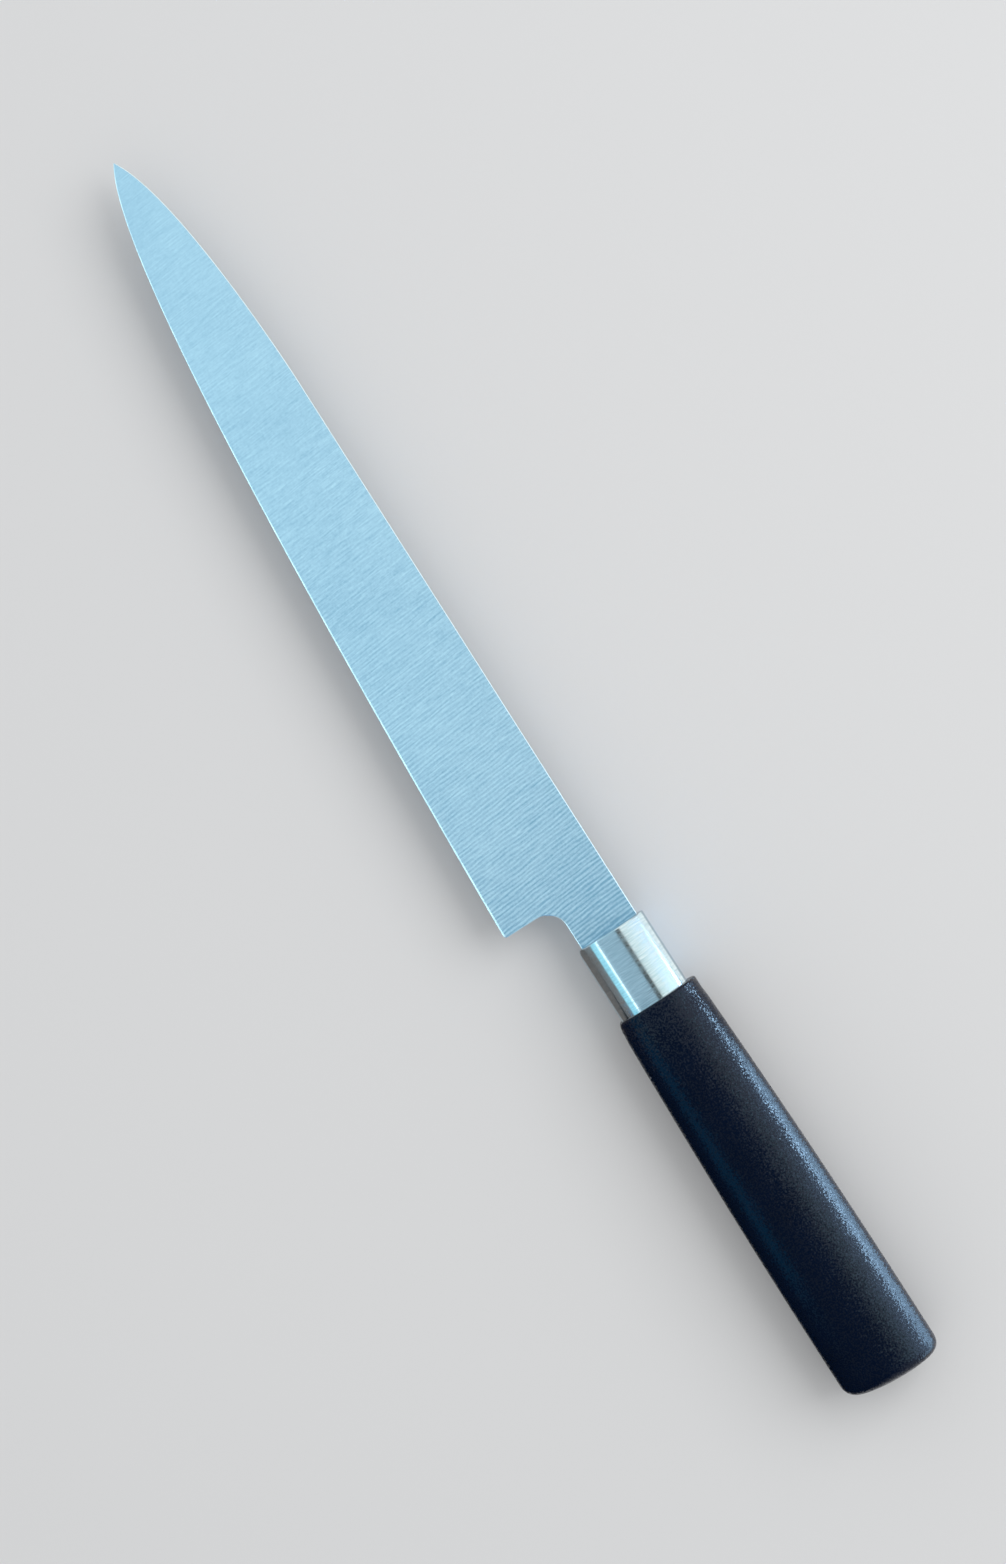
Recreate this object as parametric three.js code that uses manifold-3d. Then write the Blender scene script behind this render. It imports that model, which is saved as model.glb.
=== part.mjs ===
// Yanagiba: a single-bevel Japanese slicing knife with a steel ferrule and a moulded handle.
// Millimetres, +Z up. The knife lies on its side: +X runs to the tip, +Y to the cutting edge,
// and the flat back of the blade faces +Z. The ground front of the blade faces -Z.
import * as THREE from 'three';
import { mergeVertices } from 'three/addons/utils/BufferGeometryUtils.js';
import Module from 'manifold-3d';

const wasm = await Module();
wasm.setup();

// Driving dimensions. Lengths along X count from the ferrule's front, where the neck meets it.
// Distances across count from the handle's long axis.

// Blade: one steel plate with a neck and a hidden stick tang.
const BLADE_LENGTH = 210.5;
const BLADE_THICKNESS = 2.2;
const TIP_BELOW_AXIS = 0.95;
const NECK_LENGTH = 11.45;
const NECK_SPINE = 7.05;
const NECK_EDGE = 8.0;
const CHOIL_RADIUS = 5.2;
const HEEL_DEPTH = 21.65;
const HEEL_CORNER_RADIUS = 0.6;

// Spine: rises a little from the neck to where it turns, then drops to the tip.
const SPINE_AT_TURN = 7.72;
const SPINE_TURN_FROM_TIP = 65.5;
const SPINE_TIP_ANGLE = 32;
const SPINE_TURN_FULLNESS = 0.12;
const SPINE_TIP_FULLNESS = 0.23;

// Edge: one long curve. A fullness is the share of the curve's run that an end tangent holds.
const EDGE_HEEL_ANGLE = 2.5;
const EDGE_TIP_ANGLE = 33;
const EDGE_HEEL_FULLNESS = 0.66;
const EDGE_TIP_FULLNESS = 0.08;

// Front bevel, ground on one side only.
const BEVEL_WIDTH = 11;
const EDGE_THICKNESS = 0.25;

// Tang: tapers to its end and is keyed by two holes.
const TANG_LENGTH = 85;
const TANG_ROOT_WIDTH = 9;
const TANG_END_WIDTH = 7;
const TANG_HOLE_RADIUS = 1.75;
const TANG_HOLES_FROM_END = [12, 42];

// Ferrule: a drawn cup, slightly off the handle's axis towards the edge.
const FERRULE_LENGTH = 19.2;
const FERRULE_WIDTH = 17.8;
const FERRULE_HEIGHT = 14.6;
const FERRULE_WALL = 1.0;
const FERRULE_FRONT_WALL = 1.2;
const FERRULE_OFFSET = 0.36;
const FERRULE_EASE_LENGTH = 2.6;
const FERRULE_EASE_DEPTH = 1.0;

// Handle: an oval grip that swells towards the butt.
const HANDLE_LENGTH = 103.2;
const HANDLE_FRONT_WIDTH = 21.1;
const HANDLE_WIDTH = 24.7;
const HANDLE_HEIGHT = 20.2;
const HANDLE_WIDEST_FROM_FRONT = 90;
const HANDLE_EASE_LENGTH = 3.0;
const HANDLE_EASE_DEPTH = 1.2;
const BUTT_DOME = 1.05;
const BUTT_RADIUS = 3.1;
const BUTT_LEAN_ANGLE = 3;

// Fillings and fits.
const SEAL_DEPTH = 3.0;
const BEDDING_WALL = 1.0;
const GAP = 0.3;

// Section of ferrule and handle: the exponent of its oval, 2 for an ellipse and more for a squarer one.
const OVAL_EXPONENT = 2.3;
const OVAL_POINTS = 48;

// How finely curves are cut into facets, how far a cutter runs past the face that it cuts,
// and how close two points lie to count as one.
const OUTLINE_STEPS = 20;
const BEVEL_STEPS = 64;
const PROFILE_STEPS = 8;
const HOLE_STEPS = 24;
const CUT_MARGIN = 1;
const SAME_POINT = 1e-4;

// Places that follow from the sizes.
const spigotFront = -(FERRULE_FRONT_WALL + SEAL_DEPTH);
const shoulder = -FERRULE_LENGTH;
const butt = shoulder - HANDLE_LENGTH;

// Frames that lay a section's plane across X, and a lathe's axis along X.
const AXIS_X = new THREE.Vector3(1, 0, 0);
const AXIS_Y = new THREE.Vector3(0, 1, 0);
const AXIS_Z = new THREE.Vector3(0, 0, 1);
const sectionToX = new THREE.Matrix4().makeBasis(AXIS_Y, AXIS_Z, AXIS_X);
const latheToX = new THREE.Matrix4().makeBasis(AXIS_Z, AXIS_X, AXIS_Y);

// A closed geometry as a solid that can be joined and cut.
function solid(geometry) {
  geometry.deleteAttribute('normal');
  geometry.deleteAttribute('uv');
  const merged = mergeVertices(geometry, SAME_POINT);
  const vertProperties = new Float32Array(merged.attributes.position.array);
  const triVerts = new Uint32Array(merged.index.array);
  return new wasm.Manifold(new wasm.Mesh({ numProp: 3, vertProperties, triVerts }));
}

// A solid back as a named mesh with its material.
function piece(name, body, material) {
  const mesh = body.getMesh();
  const geometry = new THREE.BufferGeometry();
  geometry.setAttribute('position', new THREE.BufferAttribute(mesh.vertProperties, 3));
  geometry.setIndex(new THREE.BufferAttribute(mesh.triVerts, 1));
  geometry.computeVertexNormals();
  const made = new THREE.Mesh(geometry, material);
  made.name = name;
  return made;
}

// A direction in the XY plane, turned from +X by an angle in degrees.
function direction(degrees) {
  const angle = THREE.MathUtils.degToRad(degrees);
  return new THREE.Vector2(Math.cos(angle), Math.sin(angle));
}

// A plate of the given outline and thickness, centred on Z = 0.
function plate(outline, thickness) {
  const options = { depth: thickness, bevelEnabled: false, curveSegments: OUTLINE_STEPS };
  const geometry = new THREE.ExtrudeGeometry(outline, options);
  geometry.translate(0, 0, -thickness / 2);
  return solid(geometry);
}

// The edge as a curve from the heel corner to the tip.
const edgeStart = new THREE.Vector2(NECK_LENGTH + HEEL_CORNER_RADIUS, HEEL_DEPTH);
const tip = new THREE.Vector2(BLADE_LENGTH, TIP_BELOW_AXIS);
const edgeRun = tip.x - edgeStart.x;
const edgeHeelPull = direction(-EDGE_HEEL_ANGLE).multiplyScalar(EDGE_HEEL_FULLNESS * edgeRun);
const edgeTipPull = direction(-EDGE_TIP_ANGLE).multiplyScalar(EDGE_TIP_FULLNESS * edgeRun);
const edgeHeelControl = edgeStart.clone().add(edgeHeelPull);
const edgeTipControl = tip.clone().sub(edgeTipPull);

// The spine's dropping end, from its turn to the tip.
const spineTurn = new THREE.Vector2(BLADE_LENGTH - SPINE_TURN_FROM_TIP, -SPINE_AT_TURN);
const spineTurnControl = spineTurn.clone();
spineTurnControl.x += SPINE_TURN_FULLNESS * SPINE_TURN_FROM_TIP;
const spineTipPull = direction(SPINE_TIP_ANGLE).multiplyScalar(SPINE_TIP_FULLNESS * SPINE_TURN_FROM_TIP);
const spineTipControl = tip.clone().sub(spineTipPull);

// Half the tang's width at a place along it.
function tangHalfWidth(x) {
  return THREE.MathUtils.lerp(TANG_ROOT_WIDTH, TANG_END_WIDTH, -x / TANG_LENGTH) / 2;
}

// The outline of blade, neck and tang, seen from the back.
function bladeOutline() {
  const outline = new THREE.Shape();
  outline.moveTo(0, -NECK_SPINE);
  outline.lineTo(spineTurn.x, spineTurn.y);
  outline.bezierCurveTo(
    spineTurnControl.x, spineTurnControl.y, spineTipControl.x, spineTipControl.y, tip.x, tip.y,
  );
  outline.bezierCurveTo(
    edgeTipControl.x, edgeTipControl.y, edgeHeelControl.x, edgeHeelControl.y, edgeStart.x, edgeStart.y,
  );
  outline.absarc(
    edgeStart.x, HEEL_DEPTH - HEEL_CORNER_RADIUS, HEEL_CORNER_RADIUS, Math.PI / 2, Math.PI, false,
  );
  outline.lineTo(NECK_LENGTH, NECK_EDGE + CHOIL_RADIUS);
  outline.absarc(NECK_LENGTH - CHOIL_RADIUS, NECK_EDGE + CHOIL_RADIUS, CHOIL_RADIUS, 0, -Math.PI / 2, true);
  outline.lineTo(0, NECK_EDGE);
  outline.lineTo(0, FERRULE_OFFSET + tangHalfWidth(0));
  outline.lineTo(-TANG_LENGTH, FERRULE_OFFSET + tangHalfWidth(-TANG_LENGTH));
  outline.lineTo(-TANG_LENGTH, FERRULE_OFFSET - tangHalfWidth(-TANG_LENGTH));
  outline.lineTo(0, FERRULE_OFFSET - tangHalfWidth(0));
  outline.closePath();
  return outline;
}

// The stone's path: a wedge swept along the edge, past the heel and past the tip.
function bevelCutter() {
  const half = BLADE_THICKNESS / 2;
  const slope = (BLADE_THICKNESS - EDGE_THICKNESS) / BEVEL_WIDTH;
  const deep = half + CUT_MARGIN;
  const ridge = -BEVEL_WIDTH - CUT_MARGIN / slope;
  const outside = BEVEL_WIDTH;
  const wedge = new THREE.Shape();
  wedge.moveTo(deep, ridge);
  wedge.lineTo(half - (BEVEL_WIDTH + outside) * slope, outside);
  wedge.lineTo(deep, outside);
  wedge.closePath();
  const flat = (point) => new THREE.Vector3(point.x, point.y, 0);
  const before = edgeStart.clone().sub(direction(-EDGE_HEEL_ANGLE).multiplyScalar(BEVEL_WIDTH));
  const past = tip.clone().add(direction(-EDGE_TIP_ANGLE).multiplyScalar(2 * BEVEL_WIDTH));
  const path = new THREE.CurvePath();
  path.add(new THREE.LineCurve3(flat(before), flat(edgeStart)));
  path.add(new THREE.CubicBezierCurve3(
    flat(edgeStart), flat(edgeHeelControl), flat(edgeTipControl), flat(tip),
  ));
  path.add(new THREE.LineCurve3(flat(tip), flat(past)));
  const options = { steps: BEVEL_STEPS, extrudePath: path, bevelEnabled: false };
  return solid(new THREE.ExtrudeGeometry(wedge, options));
}

// Upright rods through the tang's holes, as cutters or as the resin keys in them.
function tangRods(radius, height) {
  const rods = TANG_HOLES_FROM_END.map((setback) => {
    const rod = new THREE.CylinderGeometry(radius, radius, height, HOLE_STEPS);
    rod.rotateX(Math.PI / 2);
    rod.translate(setback - TANG_LENGTH, FERRULE_OFFSET, 0);
    return solid(rod);
  });
  return rods.reduce((all, rod) => all.add(rod));
}

// The tang grown by a margin on all sides, from a front plane to past its end.
function tangPrism(margin, front) {
  const frontHalf = tangHalfWidth(front) + margin;
  const endHalf = tangHalfWidth(-TANG_LENGTH) + margin;
  const outline = new THREE.Shape();
  outline.moveTo(front, FERRULE_OFFSET - frontHalf);
  outline.lineTo(front, FERRULE_OFFSET + frontHalf);
  outline.lineTo(-TANG_LENGTH - margin, FERRULE_OFFSET + endHalf);
  outline.lineTo(-TANG_LENGTH - margin, FERRULE_OFFSET - endHalf);
  outline.closePath();
  return plate(outline, BLADE_THICKNESS + 2 * margin);
}

// A straight bar of the oval section, between two places along X.
function ovalBar(width, height, back, front) {
  const power = 2 / OVAL_EXPONENT;
  const points = [];
  for (let i = 0; i < OVAL_POINTS; i += 1) {
    const angle = (2 * Math.PI * i) / OVAL_POINTS;
    const across = Math.sign(Math.cos(angle)) * Math.abs(Math.cos(angle)) ** power;
    const up = Math.sign(Math.sin(angle)) * Math.abs(Math.sin(angle)) ** power;
    points.push(new THREE.Vector2((across * width) / 2, (up * height) / 2));
  }
  const section = new THREE.Shape(points);
  const geometry = new THREE.ExtrudeGeometry(section, { depth: front - back, bevelEnabled: false });
  geometry.applyMatrix4(sectionToX);
  geometry.translate(back, FERRULE_OFFSET, 0);
  return solid(geometry);
}

// What is taken off the edge-side corner of a front face, so that the finger meets no sharp rim.
function easeCutter(front, side, length, depth, height) {
  const outline = new THREE.Shape();
  outline.moveTo(front, side - depth);
  outline.absellipse(front - length, side - depth, length, depth, 0, Math.PI / 2, false);
  outline.lineTo(front - length, side + CUT_MARGIN);
  outline.lineTo(front + CUT_MARGIN, side + CUT_MARGIN);
  outline.lineTo(front + CUT_MARGIN, side - depth);
  outline.closePath();
  return plate(outline, height + 2 * CUT_MARGIN);
}

// The grip's outer form: a turned profile pressed to the oval section, with the butt leaned back
// a little on the edge side. The butt's corner starts along the dome's slope.
function gripBody() {
  const half = HANDLE_WIDTH / 2;
  const domeHalf = half - BUTT_RADIUS;
  const dome = butt + BUTT_DOME;
  const corner = dome + (2 * BUTT_DOME * BUTT_RADIUS) / domeHalf;
  const widest = shoulder - HANDLE_WIDEST_FROM_FRONT;
  const lean = Math.tan(THREE.MathUtils.degToRad(BUTT_LEAN_ANGLE));
  const profile = new THREE.Path();
  profile.moveTo(0, butt);
  profile.quadraticCurveTo(domeHalf / 2, butt, domeHalf, dome);
  profile.quadraticCurveTo(half, corner, half, corner + BUTT_RADIUS);
  profile.lineTo(half, widest);
  profile.quadraticCurveTo(half, (widest + shoulder) / 2, HANDLE_FRONT_WIDTH / 2, shoulder);
  profile.lineTo(0, shoulder);
  const geometry = new THREE.LatheGeometry(profile.getPoints(PROFILE_STEPS), OVAL_POINTS);
  geometry.applyMatrix4(latheToX);
  const flatness = HANDLE_HEIGHT / HANDLE_WIDTH;
  const position = geometry.attributes.position;
  for (let i = 0; i < position.count; i += 1) {
    const y = position.getY(i);
    const z = position.getZ(i);
    const round = Math.hypot(y, z);
    const oval = (Math.abs(y) ** OVAL_EXPONENT + Math.abs(z) ** OVAL_EXPONENT) ** (1 / OVAL_EXPONENT);
    const swell = oval > 0 ? round / oval : 1;
    if (position.getX(i) < widest - SAME_POINT) position.setX(i, position.getX(i) + lean * y * swell);
    position.setY(i, y * swell);
    position.setZ(i, z * swell * flatness);
  }
  return solid(geometry);
}

function buildBlade() {
  const steel = new THREE.MeshStandardMaterial({ color: 0xa6cbe0, roughness: 0.38, metalness: 1 });
  const holes = tangRods(TANG_HOLE_RADIUS, BLADE_THICKNESS + 2 * CUT_MARGIN);
  const body = plate(bladeOutline(), BLADE_THICKNESS).subtract(bevelCutter()).subtract(holes);
  return piece('blade', body, steel);
}

function buildFerrule() {
  const polished = new THREE.MeshStandardMaterial({ color: 0xc3ccd1, roughness: 0.18, metalness: 1 });
  const side = FERRULE_OFFSET + FERRULE_WIDTH / 2;
  const inside = ovalBar(
    FERRULE_WIDTH - 2 * FERRULE_WALL, FERRULE_HEIGHT - 2 * FERRULE_WALL,
    shoulder - CUT_MARGIN, -FERRULE_FRONT_WALL,
  );
  const body = ovalBar(FERRULE_WIDTH, FERRULE_HEIGHT, shoulder, 0)
    .subtract(easeCutter(0, side, FERRULE_EASE_LENGTH, FERRULE_EASE_DEPTH, FERRULE_HEIGHT))
    .subtract(inside)
    .subtract(tangPrism(GAP, CUT_MARGIN));
  return piece('ferrule', body, polished);
}

// A bar that slides into the ferrule with the fit's gap all round.
function ferruleFilling(back, front) {
  const inset = 2 * (FERRULE_WALL + GAP);
  return ovalBar(FERRULE_WIDTH - inset, FERRULE_HEIGHT - inset, back, front);
}

function buildNeckSeal() {
  const compound = new THREE.MeshStandardMaterial({ color: 0x2b2d2f, roughness: 0.7, metalness: 0 });
  const body = ferruleFilling(spigotFront, -FERRULE_FRONT_WALL).subtract(tangPrism(GAP, CUT_MARGIN));
  return piece('neck_seal', body, compound);
}

function buildHandle() {
  const plastic = new THREE.MeshStandardMaterial({ color: 0x12151a, roughness: 0.55, metalness: 0 });
  const side = HANDLE_FRONT_WIDTH / 2;
  const socket = tangPrism(BEDDING_WALL + 2 * GAP, spigotFront + CUT_MARGIN);
  const body = gripBody()
    .subtract(easeCutter(shoulder, side, HANDLE_EASE_LENGTH, HANDLE_EASE_DEPTH, HANDLE_HEIGHT))
    .add(ferruleFilling(shoulder - CUT_MARGIN, spigotFront))
    .subtract(socket);
  return piece('handle', body, plastic);
}

function buildTangBedding() {
  const resin = new THREE.MeshStandardMaterial({ color: 0x8a7d5c, roughness: 0.5, metalness: 0 });
  const keys = tangRods(TANG_HOLE_RADIUS - GAP, BLADE_THICKNESS + 2 * GAP + BEDDING_WALL);
  const cavity = tangPrism(GAP, spigotFront + CUT_MARGIN);
  const body = tangPrism(BEDDING_WALL + GAP, spigotFront).subtract(cavity).add(keys);
  return piece('tang_bedding', body, resin);
}

// The knife, moved so that the origin is at the middle of its box, on the plane that it lies on.
const knife = new THREE.Group();
knife.add(buildBlade(), buildFerrule(), buildNeckSeal(), buildHandle(), buildTangBedding());
knife.position.set(
  -(BLADE_LENGTH + butt) / 2,
  -(HEEL_DEPTH - HANDLE_WIDTH / 2) / 2,
  HANDLE_HEIGHT / 2,
);

const root = new THREE.Group();
root.add(knife);

export default root;
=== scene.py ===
import math

import bmesh
import bpy
from mathutils import Matrix, Vector
from mathutils.geometry import interpolate_bezier


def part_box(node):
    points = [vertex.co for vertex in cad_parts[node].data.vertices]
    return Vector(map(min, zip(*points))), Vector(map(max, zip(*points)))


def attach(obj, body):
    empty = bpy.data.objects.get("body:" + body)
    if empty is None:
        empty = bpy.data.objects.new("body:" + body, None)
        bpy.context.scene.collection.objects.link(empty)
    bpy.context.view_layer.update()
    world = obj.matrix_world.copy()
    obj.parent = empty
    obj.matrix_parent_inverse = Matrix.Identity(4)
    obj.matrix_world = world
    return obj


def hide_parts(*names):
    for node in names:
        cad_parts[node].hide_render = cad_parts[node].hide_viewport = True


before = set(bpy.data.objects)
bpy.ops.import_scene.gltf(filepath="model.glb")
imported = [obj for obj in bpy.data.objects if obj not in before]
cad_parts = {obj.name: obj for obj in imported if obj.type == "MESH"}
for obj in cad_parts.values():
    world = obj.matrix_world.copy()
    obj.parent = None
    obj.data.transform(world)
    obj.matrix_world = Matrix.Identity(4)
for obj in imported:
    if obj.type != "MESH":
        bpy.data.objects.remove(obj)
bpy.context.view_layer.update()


# Blade, neck and tang: one plate of stainless steel, flat on the back and ground to a single bevel
# on the front. The tang runs through the ferrule into the handle, where resin holds it by two holes.
MM = 0.001
blade_low, blade_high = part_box("blade")
ferrule_low, ferrule_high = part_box("ferrule")
handle_low, handle_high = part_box("handle")
knife_origin = Vector((
    ferrule_high.x,
    (handle_low.y + handle_high.y) / 2,
    (blade_low.z + blade_high.z) / 2,
))

BLADE_LENGTH = (blade_high.x - knife_origin.x) / MM
BLADE_THICKNESS = (blade_high.z - blade_low.z) / MM
TANG_LENGTH = (knife_origin.x - blade_low.x) / MM
HEEL_DEPTH = (blade_high.y - knife_origin.y) / MM
TIP_BELOW_AXIS = 0.95
NECK_LENGTH = 11.45
NECK_SPINE = 7.05
NECK_EDGE = 8.0
CHOIL_RADIUS = 5.2
HEEL_CORNER_RADIUS = 0.6
SPINE_AT_TURN = 7.72
SPINE_TURN_FROM_TIP = 65.5
SPINE_TIP_ANGLE = 32
SPINE_TURN_FULLNESS = 0.12
SPINE_TIP_FULLNESS = 0.23
EDGE_HEEL_ANGLE = 2.5
EDGE_TIP_ANGLE = 33
EDGE_HEEL_FULLNESS = 0.66
EDGE_TIP_FULLNESS = 0.08
BEVEL_WIDTH = 11
TANG_ROOT_WIDTH = 9
TANG_END_WIDTH = 7
TANG_HOLE_RADIUS = 1.75
TANG_HOLES_FROM_END = (12, 42)
FERRULE_OFFSET = 0.36

# Small facets: the back is honed along the edge, wider at the heel, and the other corners are eased.
# Where the blade runs out toward the tip, they keep to a share of its width and thickness.
HONED_AT_HEEL = 0.36
HONED_AT_TIP = 0.14
HONED_ANGLE = 19.5
HONED_WIDTH_SHARE = 0.25
EASED_WIDTH = 0.18
EASED_WIDTH_SHARE = 0.2
EASED_THICKNESS_SHARE = 1 / 3
SPINE_EASED_ANGLE = 25
EDGE_LAND = 0.06

MERGE_DISTANCE = 0.0001
SQUARE_STEP = 0.02
SLOPE_REACH = 1
CURVE_POINTS = 240
BLADE_STATIONS = 110
STATION_CROWDING = 1.6
ARC_STEPS = 18
CORNER_STEPS = 6
HOLE_STEPS = 32


def place(x, y, z):
    """A point in millimetres from where the handle's axis meets the ferrule's front, in metres."""
    return knife_origin + MM * Vector((x, y, z))


def toward(degrees, length):
    """A step of the given length in the blade's plane, turned from the tip's direction."""
    angle = math.radians(degrees)
    return Vector((math.cos(angle), math.sin(angle), 0)) * length


def across(points, x):
    """How far a line of points lies from the axis at a place along the knife."""
    for near, far in zip(points, points[1:]):
        if near.x <= x <= far.x:
            return near.lerp(far, (x - near.x) / (far.x - near.x)).y
    return points[-1].y


def loft(rings):
    """A closed skin over rings of points: a circle laid on the first ring, extruded to each next one."""
    bm = bmesh.new()
    order = bm.verts.layers.int.new("order")
    circle = bmesh.ops.create_circle(bm, segments=len(rings[0]), radius=1)
    for index, vert in enumerate(circle["verts"]):
        vert[order] = index
        vert.co = rings[0][index]
    edges = list(bm.edges)
    for ring in rings[1:]:
        made = bmesh.ops.extrude_edge_only(bm, edges=edges)["geom"]
        edges = [item for item in made if isinstance(item, bmesh.types.BMEdge)]
        for item in made:
            if isinstance(item, bmesh.types.BMVert):
                item.co = ring[item[order]]
    bmesh.ops.remove_doubles(bm, verts=bm.verts, dist=MERGE_DISTANCE * MM)
    bmesh.ops.holes_fill(bm, edges=bm.edges, sides=0)
    bmesh.ops.recalc_face_normals(bm, faces=bm.faces)
    return bm


def make_piece(name, bm, materials, sharp_degrees):
    """An object of the finished mesh, smooth up to the angle at which an edge stays crisp."""
    mesh = bpy.data.meshes.new(name)
    bm.to_mesh(mesh)
    bm.free()
    mesh.polygons.foreach_set("use_smooth", [True] * len(mesh.polygons))
    mesh.set_sharp_from_angle(angle=math.radians(sharp_degrees))
    for material in materials:
        mesh.materials.append(material)
    piece = bpy.data.objects.new(name, mesh)
    bpy.context.scene.collection.objects.link(piece)
    return piece


edge_start = Vector((NECK_LENGTH + HEEL_CORNER_RADIUS, HEEL_DEPTH, 0))
tip = Vector((BLADE_LENGTH, TIP_BELOW_AXIS, 0))
edge_run = tip.x - edge_start.x
edge_line = interpolate_bezier(
    edge_start,
    edge_start + toward(-EDGE_HEEL_ANGLE, EDGE_HEEL_FULLNESS * edge_run),
    tip - toward(-EDGE_TIP_ANGLE, EDGE_TIP_FULLNESS * edge_run),
    tip,
    CURVE_POINTS,
)
spine_turn = Vector((BLADE_LENGTH - SPINE_TURN_FROM_TIP, -SPINE_AT_TURN, 0))
spine_line = [Vector((0, -NECK_SPINE, 0))] + interpolate_bezier(
    spine_turn,
    spine_turn + toward(0, SPINE_TURN_FULLNESS * SPINE_TURN_FROM_TIP),
    tip - toward(SPINE_TIP_ANGLE, SPINE_TIP_FULLNESS * SPINE_TURN_FROM_TIP),
    tip,
    CURVE_POINTS,
)
honed_slope = math.tan(math.radians(HONED_ANGLE))
eased_slope = math.tan(math.radians(SPINE_EASED_ANGLE))


def bevel_across(edge_angle):
    """The bevel's width straight across the knife, where its width square to the edge is given."""
    return BEVEL_WIDTH / math.cos(edge_angle)


def blade_ring(x, spine, edge, ridge, bevel, facet, drop):
    """One section of the plate, from the spine over the back to the edge, and by the front again."""
    half = BLADE_THICKNESS / 2
    slope = (BLADE_THICKNESS - drop - EDGE_LAND) / bevel
    ease = min(EASED_WIDTH, (edge - spine) * EASED_WIDTH_SHARE)
    ridge_y = max(min(ridge, edge - ease), spine + 2 * ease)
    front_at_edge = max(0, edge - ridge) * slope - half
    front_at_ridge = max(0, ridge_y - ridge) * slope - half
    front_at_spine = max(0, spine + ease - ridge) * slope - half
    ease_drop = min(ease * eased_slope, (half - front_at_spine) * EASED_THICKNESS_SHARE)
    section = (
        (spine, half - ease_drop),
        (spine + ease, half),
        (edge - facet, half),
        (edge, half - drop),
        (edge, front_at_edge),
        (ridge_y, front_at_ridge),
        (spine + ease, front_at_spine),
        (spine, front_at_spine + ease_drop),
    )
    return [place(x, y, z) for y, z in section]


eased_drop = EASED_WIDTH * honed_slope
heel_drop = HONED_AT_HEEL * honed_slope
heel_bevel = bevel_across(math.radians(EDGE_HEEL_ANGLE))
heel_ridge = HEEL_DEPTH - heel_bevel
tang_sides = (FERRULE_OFFSET - TANG_END_WIDTH / 2, FERRULE_OFFSET + TANG_END_WIDTH / 2)
root_sides = (FERRULE_OFFSET - TANG_ROOT_WIDTH / 2, FERRULE_OFFSET + TANG_ROOT_WIDTH / 2)
eased_corners = (heel_ridge, heel_bevel, EASED_WIDTH, eased_drop)
blade_rings = [
    blade_ring(-TANG_LENGTH, *tang_sides, *eased_corners),
    blade_ring(0, *root_sides, *eased_corners),
    blade_ring(SQUARE_STEP, -NECK_SPINE, NECK_EDGE, *eased_corners),
]
for step in range(ARC_STEPS + 1):
    angle = math.pi / 2 * step / ARC_STEPS
    x = NECK_LENGTH - CHOIL_RADIUS + CHOIL_RADIUS * math.sin(angle)
    edge = NECK_EDGE + CHOIL_RADIUS - CHOIL_RADIUS * math.cos(angle)
    blade_rings.append(blade_ring(x, across(spine_line, x), edge, *eased_corners))

# The heel's back stands square to the axis, up to the small round corner where the edge starts.
heel_back = HEEL_DEPTH - HEEL_CORNER_RADIUS
for step in range(CORNER_STEPS):
    angle = math.pi / 2 * step / CORNER_STEPS
    x = NECK_LENGTH + SQUARE_STEP + HEEL_CORNER_RADIUS * (1 - math.cos(angle))
    edge = heel_back + HEEL_CORNER_RADIUS * math.sin(angle)
    blade_rings.append(
        blade_ring(x, across(spine_line, x), edge, heel_ridge, heel_bevel, HONED_AT_HEEL, heel_drop)
    )
for step in range(1, BLADE_STATIONS):
    share = 1 - (1 - step / BLADE_STATIONS) ** STATION_CROWDING
    x = edge_start.x + share * edge_run
    spine = across(spine_line, x)
    edge = across(edge_line, x)
    honed = HONED_AT_HEEL + (HONED_AT_TIP - HONED_AT_HEEL) * share
    facet = min(honed, (edge - spine) * HONED_WIDTH_SHARE)
    fall = across(edge_line, x - SLOPE_REACH) - across(edge_line, min(x + SLOPE_REACH, tip.x))
    bevel = bevel_across(math.atan2(fall, 2 * SLOPE_REACH))
    blade_rings.append(blade_ring(x, spine, edge, edge - bevel, bevel, facet, facet * honed_slope))
blade_rings.append([place(tip.x, tip.y, BLADE_THICKNESS / 2 - EDGE_LAND)] * len(blade_rings[0]))

# Strips of the blade, by the two places in a section's ring that bound them. The facets along spine
# and edge are honed, which is the blade's second material.
SPINE_FACET = {0, 1}
BACK_FLAT = {1, 2}
EDGE_FACET = {2, 3}
FRONT_FLAT = {5, 6}
blade_mesh = loft(blade_rings)
ring_order = blade_mesh.verts.layers.int["order"]
for face in blade_mesh.faces:
    corners = {vert[ring_order] for vert in face.verts}
    face.material_index = int(corners <= SPINE_FACET or corners <= EDGE_FACET)

# The tang's two holes: each of its flat sides is filled anew round two circles, which are then bridged.
tang_flats = [
    face for face in blade_mesh.faces
    if {vert[ring_order] for vert in face.verts} in (BACK_FLAT, FRONT_FLAT)
    and min(vert.co.x for vert in face.verts) < ferrule_low.x
]
hole_edges = [[] for setback in TANG_HOLES_FROM_END]
for face in tang_flats:
    height = face.calc_center_median().z
    outline = list(face.edges)
    bmesh.ops.delete(blade_mesh, geom=[face], context="FACES_ONLY")
    for index, setback in enumerate(TANG_HOLES_FROM_END):
        centre = place(setback - TANG_LENGTH, FERRULE_OFFSET, 0)
        centre.z = height
        circle = bmesh.ops.create_circle(
            blade_mesh, segments=HOLE_STEPS, radius=TANG_HOLE_RADIUS * MM, matrix=Matrix.Translation(centre)
        )
        rim = list({edge for vert in circle["verts"] for edge in vert.link_edges})
        hole_edges[index] += rim
        outline += rim
    bmesh.ops.triangle_fill(blade_mesh, use_beauty=True, edges=outline)
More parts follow.
